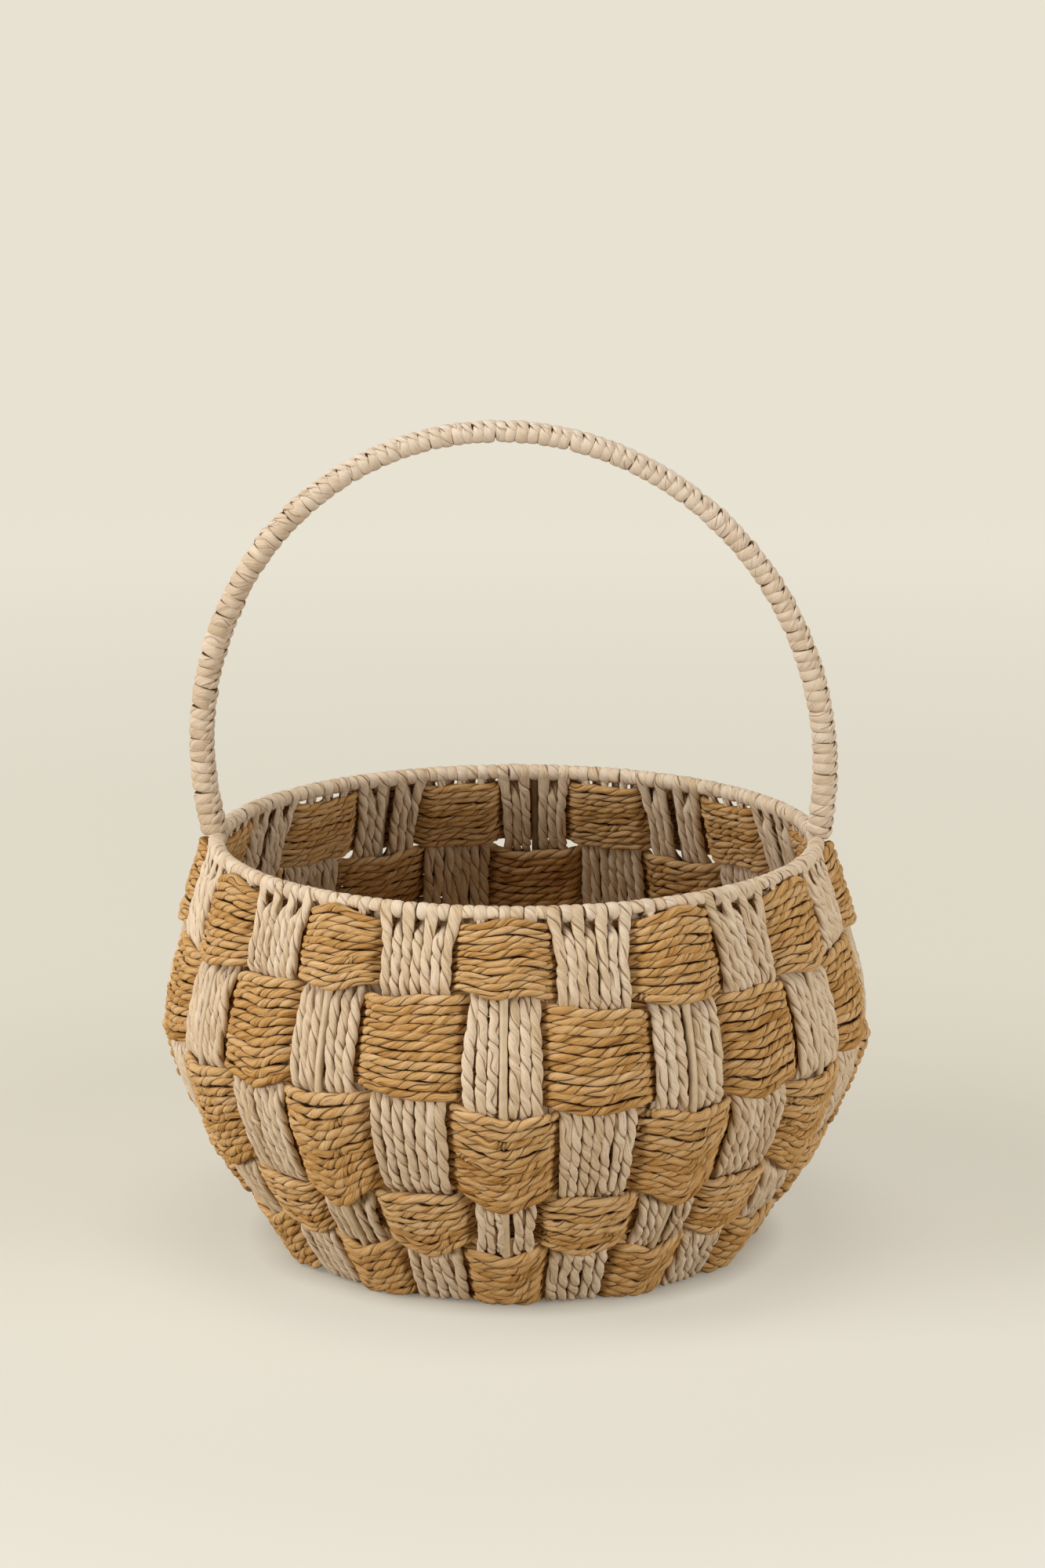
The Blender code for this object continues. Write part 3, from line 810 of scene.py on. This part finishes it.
def rim_wraps(name, front, finish):
    """Half of the rim's turns of cord that don't run on down a column. They start underneath."""
    bundle = Bundle(f"{name}_cords")
    for wrap in range(COLUMNS * RIM_WRAPS_PER_COLUMN):
        slot = (wrap + WIRE_SLOT) % RIM_WRAPS_PER_COLUMN
        angle = wrap * COLUMN_ANGLE / RIM_WRAPS_PER_COLUMN
        if slot in OVER_SLOTS or (math.cos(angle) >= 0) != front:
            continue
        shift = rng.normal() * RIM_PLACE_SPREAD * COLUMN_ANGLE / RIM_WRAPS_PER_COLUMN
        angle = settled(angle + shift)
        path, outward = loop_round(
            around(RIM_RADIUS, angle, RIM_HEIGHT),
            around(1, angle, 0),
            UP,
            around(1, angle + math.pi / 2, 0),
            RIM_WRAP_ROUND * (1 + rng.normal() * RIM_ROUND_SPREAD),
            math.radians(RIM_WRAP_TILT + rng.normal() * RIM_TILT_SPREAD),
            RIM_WRAP_STEP,
            -math.pi / 2,
        )
        bundle.add(
            path,
            outward,
            RIM_WRAP_WIDTH * (1 + rng.normal() * RIM_WIDTH_SPREAD),
            RIM_WRAP_THICK,
            CREAM_PLY_PITCH,
            closed=True,
            depth=WRAP_DEPTH,
            darkening=RIM_WRAP_DARKENING,
        )
    bundle.build(finish, "wrapping_paper_cord", name)


# Handle


def handle_place(turn):
    """Centre of the rod, and the directions outward from the arch and along it."""
    rise = HANDLE_RISE + HANDLE_ROUND * np.cos(turn)
    x = HANDLE_WIDEST * np.sin(turn) - HANDLE_LEAN * rise
    climb_rate = -HANDLE_ROUND * np.sin(turn)
    along = unit(np.stack([
        HANDLE_WIDEST * np.cos(turn) - HANDLE_LEAN * climb_rate,
        np.zeros_like(turn),
        climb_rate,
    ], -1))
    out = np.stack([-along[..., 2], np.zeros_like(turn), along[..., 0]], -1)
    return np.stack([x, np.zeros_like(turn), RIM_HEIGHT + rise], -1), out, along


def wrap_turns():
    """Turns of the arch at which the wrapping's rings lie, and the room for each one.

    They run from the left foot to the right one.
    """
    end = math.acos(-HANDLE_RISE / HANDLE_ROUND)
    turn = np.linspace(-end, end, HANDLE_SAMPLES)
    length = path_length(handle_place(turn)[0])
    seat = RIM_WRAP_ROUND + RIM_WRAP_THICK
    count = round((length[-1] - 2 * seat) / HANDLE_PITCH)
    places = np.linspace(seat, length[-1] - seat, count)
    shifts = rng.uniform(-HANDLE_PITCH_SPREAD, HANDLE_PITCH_SPREAD, count)
    places = places + shifts * HANDLE_PITCH
    return np.interp(places, length, turn), np.gradient(places)


def handle_wrap(finish):
    """Turns of cord round the handle's rod, with a ridge of knots along them."""
    bundle = Bundle("handle_wrap_cords")
    for turn, room in zip(*wrap_turns()):
        centre, out, along = handle_place(turn)
        knot = np.interp(turn, handle_turns, knot_angles) + rng.normal() * KNOT_ANGLE_SPREAD
        girth = HANDLE_WRAP_ROUND * np.interp(turn, handle_turns, girth_shares)
        girth = girth * (1 + rng.normal() * HANDLE_ROUND_SPREAD)
        looks = {
            "depth": HANDLE_WRAP_DEPTH,
            # Painted shade on the handle's legs and painted light near its top
            "darkening": np.interp(turn, handle_turns, handle_painted_shades),
        }
        path, outward = loop_round(
            centre,
            out,
            FRONT,
            along,
            girth,
            math.radians(HANDLE_WRAP_TILT + rng.normal() * HANDLE_TILT_SPREAD),
            HANDLE_WRAP_STEP,
            knot,
        )
        width = room * HANDLE_WRAP_PRESS
        bundle.add(
            path, outward, width, HANDLE_WRAP_THICK, CREAM_PLY_PITCH, closed=True, **looks
        )
        sweep = np.linspace(-1, 1, KNOT_POINTS)[:, None]
        angle = knot + sweep * math.radians(KNOT_REACH)
        bulge = np.cos(sweep * math.pi / 2)
        rise = girth + (KNOT_RISE + KNOT_SINK) * bulge - KNOT_SINK
        outward = out * np.cos(angle) + FRONT * np.sin(angle)
        path = centre + outward * rise + along * sweep * KNOT_SLANT * room
        width = KNOT_WIDTH * (knot_width_shares[0] + knot_width_shares[1] * bulge[:, 0])
        width = width * (1 + rng.normal() * KNOT_WIDTH_SPREAD)
        shade = KNOT_SHADE * np.abs(sweep) ** KNOT_SHADE_POWER
        bundle.add(path, outward, width, KNOT_THICK, CREAM_PLY_PITCH, shade=shade, **looks)
    bundle.build(finish, "wrapping_paper_cord", "handle_wrap")


# Base


def base_band(index, lengthwise, finish):
    """A straight band of tan cords across the base, over and under those that cross it."""
    name = f"base_band_{index + 1 + BASE_BANDS * lengthwise:02d}"
    bundle = Bundle(f"{name}_cords")
    fill = BASE_HOOP_RADIUS - HOOP_WIRE / 2
    pitch = 2 * fill / BASE_BANDS
    middle = (index - (BASE_BANDS - 1) / 2) * pitch
    spacing = 2 * BASE_HALF * pitch / BASE_BAND_CORDS
    for i in range(BASE_BAND_CORDS):
        place = middle + (i - (BASE_BAND_CORDS - 1) / 2) * spacing
        reach = math.sqrt(fill**2 - place**2) - CORD / 2
        along = np.linspace(-reach, reach, round(2 * reach / BASE_STEP))
        cell = np.clip(np.floor(along / pitch + BASE_BANDS / 2), 0, BASE_BANDS - 1)
        from_middle = along / pitch - (cell - (BASE_BANDS - 1) / 2)
        bend = np.clip((0.5 - np.abs(from_middle)) / BASE_CROSSING, 0, 1)
        side = np.where((cell + index + lengthwise) % 2, 1, -1)
        height = BASE_HOOP_HEIGHT + side * CORD / 2 * np.sin(math.pi / 2 * bend)
        height = np.maximum(height, LOWEST_MIDDLE)
        across = place + wander(along, base_wave_lengths, WARP_WANDER)
        parts = (along, across, height) if lengthwise else (across, along, height)
        outward = np.broadcast_to(UP, (len(along), 3))
        bundle.add(np.stack(parts, -1), outward, CORD, CORD, TAN_PLY_PITCH)
    bundle.build(finish, "tan_paper_cord", name)


# Materials


def linear(red, green, blue):
    """A colour read off a screen, from 0 to 255, as linear light."""
    shares = np.array((red, green, blue)) / 255
    low, high = shares / 12.92, ((shares + 0.055) / 1.055) ** 2.4
    return (*np.where(shares <= 0.04045, low, high).tolist(), 1.0)


class Shading:
    """The nodes of a material or world, with short ways to add to them.

    An input is given an output to be linked to, or a value of its own.
    """

    def __init__(self, owner):
        owner.use_nodes = True
        self.nodes, self.links = owner.node_tree.nodes, owner.node_tree.links

    def fill(self, node, inputs):
        """Fill a node's inputs, and give its outputs."""
        for name, value in inputs.items():
            if isinstance(value, bpy.types.NodeSocket):
                self.links.new(value, node.inputs[name])
            else:
                node.inputs[name].default_value = value
        return node.outputs

    def add(self, kind, inputs, **settings):
        """A new node's outputs. Its settings come first, because its inputs depend on them."""
        node = self.nodes.new(f"ShaderNode{kind}")
        for name, value in settings.items():
            setattr(node, name, value)
        return self.fill(node, inputs)

    def maths(self, operation, first, second):
        return self.add("Math", {0: first, 1: second}, operation=operation)[0]

    def attribute(self, name, output):
        """What each point of a bundle says of its place on its cord."""
        return self.add("Attribute", {}, attribute_name=name)[output]

    def ranged(self, value, limits):
        """A value mapped from one range to another. Each is 0 to 1 but for the limits given."""
        return self.add("MapRange", {"Value": value, **limits})["Result"]

    def mixed(self, share, first, second):
        """A mix of two colours."""
        return self.add("Mix", {"Factor": share, "A": first, "B": second}, data_type="RGBA")["Result"]

    def fibre_noise(self, scale, detail):
        """Noise that is stretched along the cord."""
        place = {"Vector": self.attribute("fibre", "Vector"), "Scale": scale}
        place = self.add("Mapping", place)["Vector"]
        return self.add("TexNoise", {"Vector": place, "Scale": 1, "Detail": detail})["Fac"]

    def ramp(self, factor, stops):
        """A colour that runs through stops of place and colour."""
        node = self.nodes.new("ShaderNodeValToRGB")
        elements = node.color_ramp.elements
        while len(elements) < len(stops):
            elements.new(0.5)
        for element, (place, colour) in zip(elements, stops):
            element.position = place
            element.color = colour
        return self.fill(node, {"Fac": factor})["Color"]

    def bump(self, height, strength, distance):
        """The normal of a fine relief."""
        inputs = {"Height": height, "Strength": strength, "Distance": distance}
        return self.add("Bump", inputs)["Normal"]

    def backdrop_share(self):
        """1 for rays that show the background itself: camera, glossy and transmission rays."""
        path = self.add("LightPath", {})
        shown = self.maths("MAXIMUM", path["Is Camera Ray"], path["Is Glossy Ray"])
        return self.maths("MAXIMUM", shown, path["Is Transmission Ray"])


def new_material(name):
    made = bpy.data.materials.new(name)
    return made, Shading(made)


def paper_cord(name, colours, press, crease, filled_from):
    """Twisted paper: wrinkles that run with the plies, patches, and darker creases between them.

    Creases, fold lines and pressed flanks are darkened with painted shade. Press is where on the
    flanks the painted shade gives way to colour and where the colour is whole. Crease is how wide a
    crease's painted shade is and how much colour it keeps, and it is filled where the breaks' noise
    is above a level.
    """
    made, shading = new_material(name)
    painted_shade, *shades = [linear(*colour) for colour in colours]
    noises = {kind: shading.fibre_noise(*values) for kind, values in paper_noises.items()}

    wrinkles = shading.maths("MULTIPLY", noises["wrinkles"], PATTERN_SHARE)
    patches = shading.maths("MULTIPLY", noises["patches"], PATTERN_SHARE)
    pattern = shading.maths("ADD", wrinkles, patches)
    varied = shading.maths("MULTIPLY", shading.attribute("tone_and_painted_shade", "Fac"), TONE_AND_SHADE_SHARE)
    pattern = shading.maths("ADD", pattern, varied)
    colour = shading.ramp(pattern, list(zip(paper_ramp, shades)))

    # Painted shade: the colour is mixed towards painted_shade in the creases between the plies, along
    # the folds' lines, and on the flanks where neighbours press
    place = shading.add("SeparateXYZ", {"Vector": shading.attribute("fibre", "Vector")})
    from_crease = shading.maths("ABSOLUTE", place["Y"], 0.0)
    filled = shading.maths("SUBTRACT", noises["breaks"], filled_from)
    filled = shading.maths("MAXIMUM", filled, 0.0)
    filled = shading.maths("MULTIPLY", filled, BREAK_GAIN)
    from_crease = shading.maths("ADD", from_crease, filled)
    from_fold = shading.maths("SUBTRACT", noises["folds"], FOLD_MIDDLE)
    from_fold = shading.maths("ABSOLUTE", from_fold, 0.0)
    from_fold = shading.maths("MULTIPLY", from_fold, FOLD_GAIN)
    from_fold = shading.maths("ADD", from_fold, FOLD_FLOOR)
    nearest = shading.maths("MINIMUM", from_crease, from_fold)
    creased = shading.ranged(nearest, {"From Max": crease[0], "To Min": crease[1]})
    flank = shading.attribute("flank", "Fac")
    pressed = shading.ranged(flank, {"From Min": press[0], "From Max": press[1]})
    open_share = shading.maths("MULTIPLY", creased, pressed)

    crumples = shading.maths("MULTIPLY", noises["crumples"], CRUMPLE_SHARE)
    relief = shading.maths("ADD", noises["ridges"], crumples)
    rough = {
        "To Min": PAPER_ROUGHNESS - PAPER_ROUGHNESS_SPREAD,
        "To Max": PAPER_ROUGHNESS + PAPER_ROUGHNESS_SPREAD,
    }
    shading.fill(shading.nodes["Principled BSDF"], {
        "Base Color": shading.mixed(open_share, painted_shade, colour),
        "Normal": shading.bump(relief, PAPER_BUMP, PAPER_RELIEF),
        "Roughness": shading.ranged(noises["patches"], rough),
        "Specular IOR Level": PAPER_GLOSS,
    })
    return made


def painted_wire(name, colours):
    """Satin paint on wire, a little uneven."""
    made, shading = new_material(name)
    place = shading.add("TexCoord", {})["Object"]
    spots = {"Vector": place, "Scale": PAINT_SPOTS, "Detail": PAINT_DETAIL}
    spots = shading.add("TexNoise", spots)["Fac"]
    stops = [(level, linear(*colour)) for level, colour in zip(paint_ramp, colours)]
    shading.fill(shading.nodes["Principled BSDF"], {
        "Base Color": shading.ramp(spots, stops),
        "Normal": shading.bump(spots, PAINT_BUMP, PAINT_RELIEF),
        "Roughness": PAINT_ROUGHNESS,
    })
    return made


# Studio


def floor_material():
    """A pale floor that keeps the shadow and fades into a glow of painted light, which is brightest
    in front of the basket and has the backdrop's colour far behind.
    """
    made, shading = new_material("studio_floor")
    bounce, colour = linear(*FLOOR_BOUNCE), linear(*FLOOR_COLOUR)
    lit = shading.fill(shading.nodes["Principled BSDF"], {
        "Base Color": shading.mixed(shading.backdrop_share(), bounce, colour),
        "Roughness": FLOOR_ROUGHNESS,
        "Specular IOR Level": FLOOR_GLOSS,
    })
    place = shading.add("NewGeometry", {})["Position"]
    depth = shading.add("SeparateXYZ", {"Vector": place})["Y"]
    nearest, farthest = floor_glow_depths
    behind = shading.ranged(depth, {"From Min": nearest, "From Max": farthest})
    # Painted light: the glow that camera rays see is brightest on the floor in front of the basket
    glow = shading.ramp(behind, [(share, linear(*shown)) for share, shown in floor_glows])
    plain = shading.add("Emission", {"Color": glow})
    distance = shading.add("VectorMath", {0: place}, operation="LENGTH")["Value"]
    reach = shading.ranged(distance, {"From Max": FLOOR_FADE_END})
    stops = [(far / FLOOR_FADE_END, (level, level, level, 1.0)) for far, level in floor_fades]
    share = shading.maths("MULTIPLY", shading.backdrop_share(), shading.ramp(reach, stops))
    mix = shading.add("MixShader", {0: share, 1: lit["BSDF"], 2: plain["Emission"]})
    shading.fill(shading.nodes["Material Output"], {"Surface": mix["Shader"]})
    return made


def build_floor():
    angle = np.arange(FLOOR_POINTS) * TURN / FLOOR_POINTS
    points = around(FLOOR_RADIUS, angle, 0.0)
    mesh = bpy.data.meshes.new("studio_floor")
    mesh.from_pydata(points.tolist(), [], [tuple(range(FLOOR_POINTS))])
    mesh.materials.append(floor_material())
    floor = bpy.data.objects.new("studio_floor", mesh)
    bpy.context.scene.collection.objects.link(floor)


def build_world():
    """Warm light from all round, behind a backdrop that has a plain colour of its own."""
    world = bpy.data.worlds.new("studio")
    shading = Shading(world)
    ambient = {"Color": WORLD_LIGHT, "Strength": WORLD_STRENGTH}
    ambient = shading.fill(shading.nodes["Background"], ambient)
    shown = shading.add("Background", {"Color": linear(*BACKDROP)})
    mix = {0: shading.backdrop_share(), 1: ambient["Background"], 2: shown["Background"]}
    mix = shading.add("MixShader", mix)
    shading.fill(shading.nodes["World Output"], {"Surface": mix["Shader"]})
    bpy.context.scene.world = world


def direction(azimuth, elevation):
    """From the middle of the scene towards a place round it."""
    level = math.cos(elevation)
    return np.array((math.sin(azimuth) * level, -math.cos(azimuth) * level, math.sin(elevation)))


def facing(back):
    """A rotation that looks against a direction, with +Z up."""
    return Vector(-back).to_track_quat("-Z", "Y").to_euler()


def softbox(name, azimuth, elevation, size, level):
    """A square light that adds a level to what faces it in the middle of the scene."""
    data = bpy.data.lights.new(name, "AREA")
    data.shape = "SQUARE"
    data.size = size
    data.energy = level * math.pi**2 * LAMP_DISTANCE**2
    data.color = LAMP_COLOUR
    light = bpy.data.objects.new(name, data)
    back = direction(math.radians(azimuth), math.radians(elevation))
    light.location = back * LAMP_DISTANCE
    light.rotation_euler = facing(back)
    bpy.context.scene.collection.objects.link(light)


def build_camera():
    """The camera of the photo, fitted to the basket's woven grid."""
    data = bpy.data.cameras.new("camera")
    data.lens = CAMERA_LENS
    data.sensor_width = CAMERA_SENSOR
    camera = bpy.data.objects.new("camera", data)
    place = direction(CAMERA_AZIMUTH, CAMERA_ELEVATION) * CAMERA_DISTANCE
    camera.location = place + np.array((0, 0, CAMERA_TARGET_HEIGHT))
    aim = direction(CAMERA_AZIMUTH + CAMERA_YAW, CAMERA_ELEVATION + CAMERA_PITCH)
    camera.rotation_euler = facing(aim)
    bpy.context.scene.collection.objects.link(camera)
    bpy.context.scene.camera = camera


def build_basket():
    tan = paper_cord(
        "tan_paper", tan_colours, press=(0.89, 0.74), crease=(0.34, 0.06), filled_from=0.565
    )
    cream = paper_cord(
        "cream_paper", cream_colours, press=(0.97, 0.88), crease=(0.34, 0.06), filled_from=0.505
    )
    wrapping = paper_cord(
        "wrapping_paper", wrapping_colours, press=(0.93, 0.84), crease=(0.24, 0.35), filled_from=0.46
    )
    wire = painted_wire("wire_paint", paint_colours)
    for row in range(ROWS):
        weft(row, tan)
    for column in range(COLUMNS):
        warp(column, cream)
    for index in range(COLUMNS // 2):
        rib(index, wire)
    hoop("rim_hoop", RIM_RADIUS, RIM_HEIGHT, wire)
    hoop("base_hoop", BASE_HOOP_RADIUS, BASE_HOOP_HEIGHT, wire)
    rim_wraps("rim_wrap_front", True, wrapping)
    rim_wraps("rim_wrap_back", False, wrapping)
    handle_wrap(wrapping)
    for lengthwise in (False, True):
        for index in range(BASE_BANDS):
            base_band(index, lengthwise, tan)
    rod_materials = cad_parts["handle_rod"].data.materials
    rod_materials.clear()
    rod_materials.append(wire)


def build_studio():
    build_floor()
    build_world()
    for name, values in lamps.items():
        softbox(name, *values)
    bpy.context.scene.view_settings.view_transform = "Standard"


build_basket()
build_studio()
build_camera()
